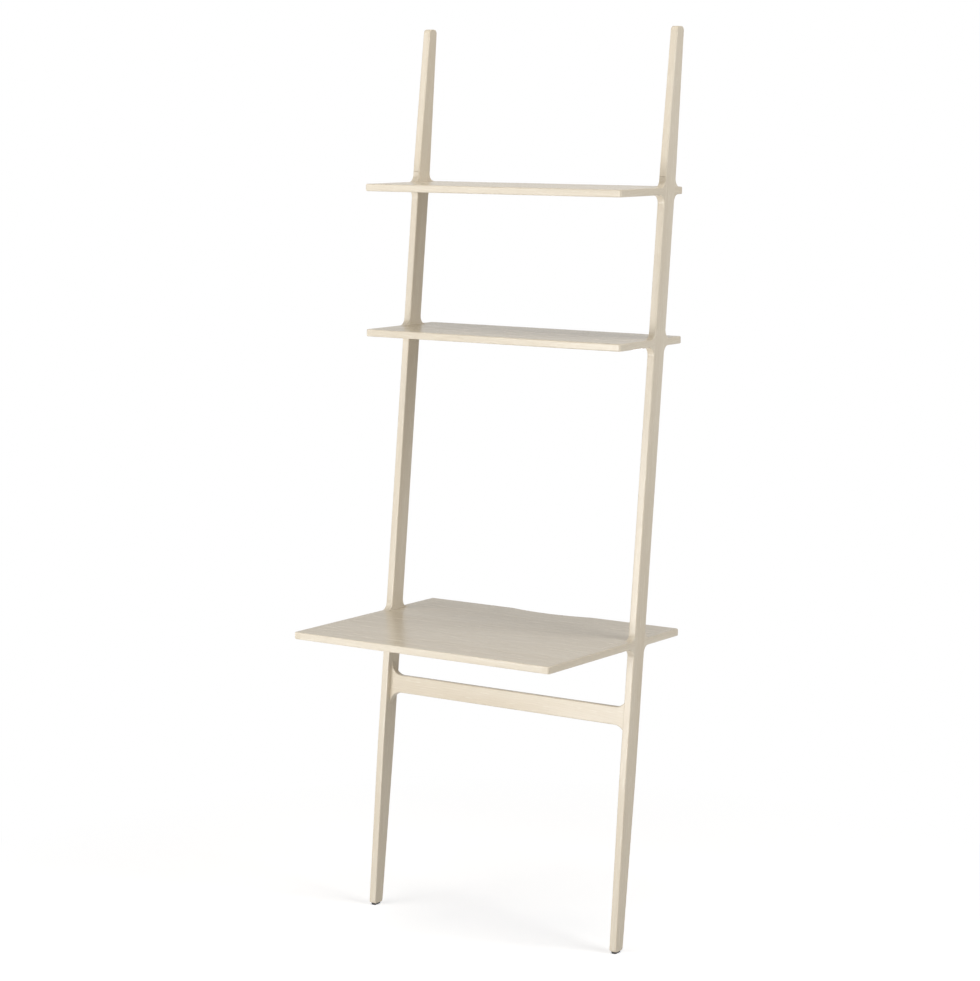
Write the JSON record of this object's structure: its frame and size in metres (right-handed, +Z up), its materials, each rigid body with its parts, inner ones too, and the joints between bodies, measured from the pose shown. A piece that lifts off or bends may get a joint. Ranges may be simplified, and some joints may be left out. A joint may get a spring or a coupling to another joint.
{
  "type": "ladder desk",
  "caption": "Leaning ladder desk in pale ash: side frames that lean back to the wall carry a desk top and shelves, with a flared stretcher below.",
  "frame": {"origin": "on the floor, in the middle of the desk's width and of its depth; the wall stands at Y = +0.2885 m", "axes": "+Z up from the floor, +X to the right of someone facing the desk, +Y towards the wall"},
  "size_m": [0.75, 0.577, 2.225],
  "materials": {
    "ash": "white-pigmented lacquered ash, satin",
    "beech": "bare beech tongue",
    "steel": "zinc plated sheet",
    "nylon": "dark nylon"
  },
  "bodies": {
    "root": {"left_upright": "ash", "right_upright": "ash", "left_desk_front_arm": "ash", "left_desk_back_arm": "ash", "left_lower_shelf_front_arm": "ash", "left_lower_shelf_back_arm": "ash", "left_upper_shelf_front_arm": "ash", "left_upper_shelf_back_arm": "ash", "right_desk_front_arm": "ash", "right_desk_back_arm": "ash", "right_lower_shelf_front_arm": "ash", "right_lower_shelf_back_arm": "ash", "right_upper_shelf_front_arm": "ash", "right_upper_shelf_back_arm": "ash", "desk_top": "ash", "lower_shelf": "ash", "upper_shelf": "ash", "stretcher": "ash", "left_wall_bracket": "steel", "right_wall_bracket": "steel", "left_foot_glide": "nylon", "right_foot_glide": "nylon", "loose_tongues": "beech", "bracket_screws": "steel"}
  },
  "joints": []
}
